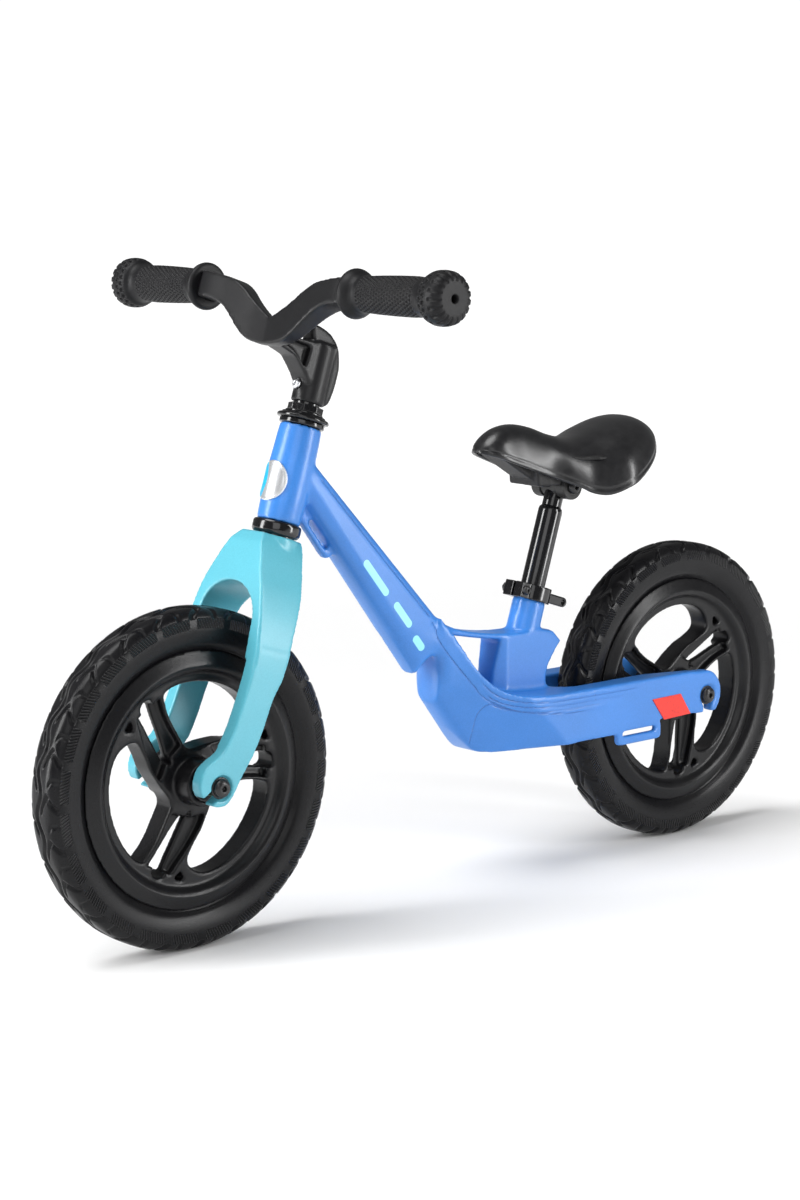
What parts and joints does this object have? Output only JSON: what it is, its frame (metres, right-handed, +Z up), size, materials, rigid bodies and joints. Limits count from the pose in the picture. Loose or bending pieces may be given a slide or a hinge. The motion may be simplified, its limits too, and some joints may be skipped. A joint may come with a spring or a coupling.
{
  "type": "balance bike",
  "caption": "Small child's balance bike with a swooping cast frame, cast fork, foam tyres, spoked plastic wheels, swept handlebar, height-adjustable saddle and no pedals.",
  "frame": {"origin": "on the ground midway between the two wheel centres, in the bike's middle plane", "axes": "+X forward, +Y to the rider's left, +Z up"},
  "size_m": [0.858, 0.424, 0.5537],
  "materials": {
    "frame_paint": "satin pearl cornflower-blue powder coat",
    "fork_paint": "satin turquoise powder coat",
    "satin_black": "satin black powder coat",
    "gloss_black": "gloss black electrophoretic coat",
    "bolt_black": "black-oxide steel",
    "clamp_black": "black-coated steel",
    "steel": "bright zinc-plated steel",
    "zinc": "dull yellow-zinc plating",
    "rim_plastic": "moulded glass-filled nylon, slight sheen",
    "tyre_foam": "moulded foam with a smooth skin",
    "grip_rubber": "moulded matt rubber with dimples",
    "saddle_plastic": "moulded polypropylene",
    "saddle_vinyl": "satin synthetic leather",
    "badge": "printed foil badge",
    "reflector": "reflective film"
  },
  "bodies": {
    "frame": {"frame_casting": "frame_paint", "head_badge": "badge", "reflective_decals": "reflector", "lower_cup": "gloss_black", "upper_cup": "gloss_black", "headset_balls": "steel", "rear_axle": "steel", "rear_axle_spacers": "zinc", "rear_axle_washers": "gloss_black", "rear_axle_bolts": "bolt_black", "seat_clamp": "gloss_black", "seat_clamp_bolt": "bolt_black", "seat_clamp_nut": "bolt_black"},
    "steering": {"fork_casting": "fork_paint", "steerer_tube": "steel", "crown_race": "steel", "upper_cone": "gloss_black", "lock_washer": "gloss_black", "lock_nut": "gloss_black", "handlebar": "satin_black", "stem_bolt": "steel", "left_grip": "grip_rubber", "right_grip": "grip_rubber", "front_axle": "steel", "front_axle_spacers": "zinc", "front_axle_washers": "gloss_black", "front_axle_bolts": "bolt_black"},
    "front_wheel": {"front_rim": "rim_plastic", "front_tyre": "tyre_foam", "front_bearings": "steel", "front_dust_caps": "zinc"},
    "rear_wheel": {"rear_rim": "rim_plastic", "rear_tyre": "tyre_foam", "rear_bearings": "steel", "rear_dust_caps": "zinc"},
    "seat_post": {"seat_post": "gloss_black", "saddle_clamp_core": "clamp_black"},
    "saddle": {"saddle_clamp_cheeks": "clamp_black", "saddle_clamp_bolt": "bolt_black", "saddle_clamp_nut": "bolt_black", "saddle_rails": "steel", "saddle_base": "saddle_plastic", "saddle_pad": "saddle_vinyl"}
  },
  "joints": [
    {"name": "steering_turn", "type": "hinge", "parent": "frame", "child": "steering", "pos_m": [0.25757, 0, 0.13111], "axis": [-0.309, 0, 0.9511], "continuous": true},
    {"name": "front_wheel_spin", "type": "hinge", "parent": "steering", "child": "front_wheel", "pos_m": [0.288, 0, 0.141], "axis": [0, 1, 0], "continuous": true},
    {"name": "rear_wheel_spin", "type": "hinge", "parent": "frame", "child": "rear_wheel", "pos_m": [-0.288, 0, 0.141], "axis": [0, 1, 0], "continuous": true},
    {"name": "seat_height", "type": "slide", "parent": "frame", "child": "seat_post", "axis": [-0.309, 0, 0.9511], "range_m": [-0.075, 0.01]},
    {"name": "saddle_tilt", "type": "hinge", "parent": "seat_post", "child": "saddle", "pos_m": [-0.1336, 0, 0.34809], "axis": [0, 1, 0], "range_deg": [-12, 12]}
  ]
}
